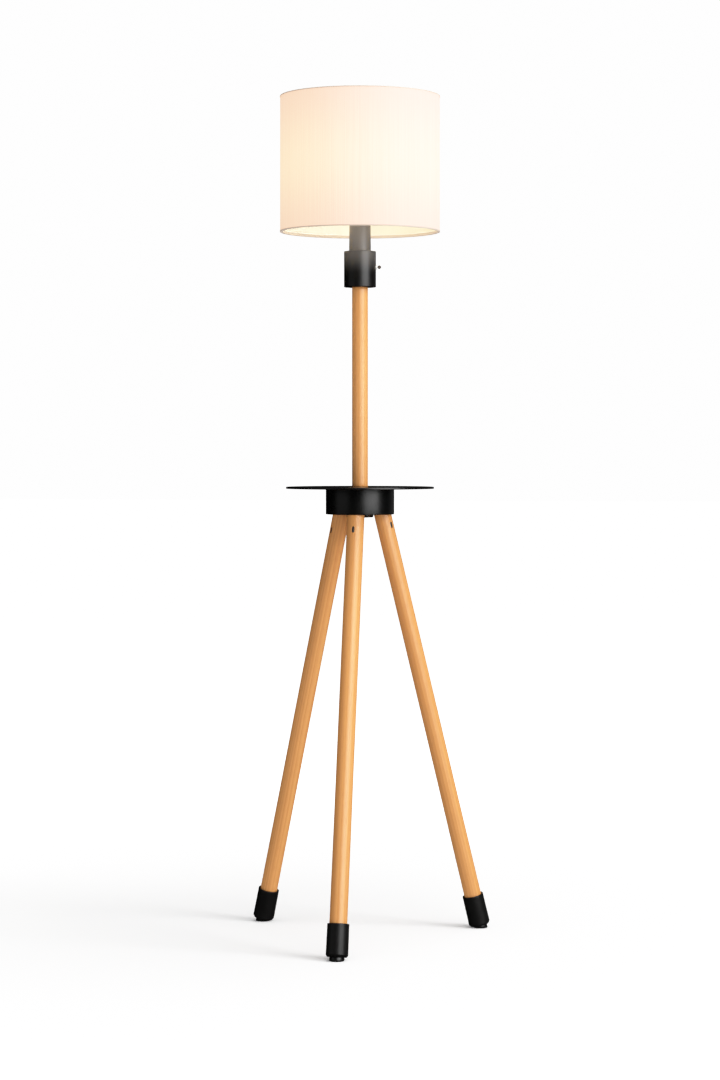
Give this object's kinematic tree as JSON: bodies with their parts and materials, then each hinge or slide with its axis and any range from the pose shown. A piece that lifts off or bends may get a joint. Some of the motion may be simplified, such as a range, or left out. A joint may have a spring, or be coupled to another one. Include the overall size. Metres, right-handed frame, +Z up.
{
  "type": "tripod floor lamp",
  "caption": "Floor lamp with a drum fabric shade and rotary switch on a wooden pole, a round tray at half height and raked wooden tripod legs with rubber feet.",
  "frame": {"origin": "on the floor at the middle of the lamp's bounding box; the pole's axis stands 0.05377 m behind it along +Y", "axes": "+Z up along the pole, -Y towards the front leg, +X towards the switch knob"},
  "size_m": [0.4384, 0.3931, 1.5],
  "materials": {
    "shade_fabric": "fine woven, lined",
    "trim_tape": "woven tape",
    "white_wire": "white enamel",
    "opal_glass": "opal",
    "nickel": "bright",
    "brass": "plain",
    "porcelain": "glazed",
    "bronze_paint": "satin dark bronze",
    "black_paint": "satin black powder coat",
    "zinc_steel": "zinc plated",
    "cast_iron": "as cast, blackened",
    "black_plastic": "satin",
    "brown_plastic": "gloss",
    "black_rubber": "matt",
    "lead_rubber": "smooth",
    "honey_wood": "satin lacquer"
  },
  "bodies": {
    "stand": {"pole": "honey_wood", "tray": "black_paint", "threaded_pipe": "zinc_steel", "hub_casing": "black_paint", "leg_bracket": "cast_iron", "clamp_washer": "zinc_steel", "hand_nut": "black_plastic", "cord_bushing": "brass", "supply_lead": "lead_rubber", "socket_lead": "lead_rubber", "socket_cup": "bronze_paint", "shade_ring_nut": "black_plastic", "nipple": "brass", "nipple_nut": "zinc_steel", "socket_insulator": "porcelain", "socket_screw_shell": "brass", "centre_contact": "brass", "bulb_cap": "nickel", "bulb_glass": "opal_glass", "housing_shell": "bronze_paint", "housing_base": "bronze_paint", "pipe_nut": "zinc_steel", "pipe_yoke": "zinc_steel", "switch_body": "black_plastic", "switch_bushing": "nickel", "switch_nut": "nickel", "front_leg": "honey_wood", "front_leg_spigot": "zinc_steel", "front_leg_cotter": "zinc_steel", "front_foot_sleeve": "black_rubber", "front_foot_glide": "black_plastic", "right_leg": "honey_wood", "right_leg_spigot": "zinc_steel", "right_leg_cotter": "zinc_steel", "right_foot_sleeve": "black_rubber", "right_foot_glide": "black_plastic", "left_leg": "honey_wood", "left_leg_spigot": "zinc_steel", "left_leg_cotter": "zinc_steel", "left_foot_sleeve": "black_rubber", "left_foot_glide": "black_plastic"},
    "shade": {"shade_fabric": "shade_fabric", "shade_top_trim": "trim_tape", "shade_bottom_trim": "trim_tape", "shade_top_ring": "white_wire", "shade_bottom_ring": "white_wire", "shade_fitter": "white_wire"},
    "knob": {"switch_knob": "brown_plastic", "switch_shaft": "nickel"}
  },
  "joints": [
    {"name": "shade_turn", "type": "hinge", "parent": "stand", "child": "shade", "pos_m": [0, 0.05377, 1.2874], "axis": [0, 0, 1], "continuous": true},
    {"name": "switch_turn", "type": "hinge", "parent": "stand", "child": "knob", "pos_m": [0.0325, 0.05377, 1.194], "axis": [1, 0, 0], "continuous": true}
  ]
}
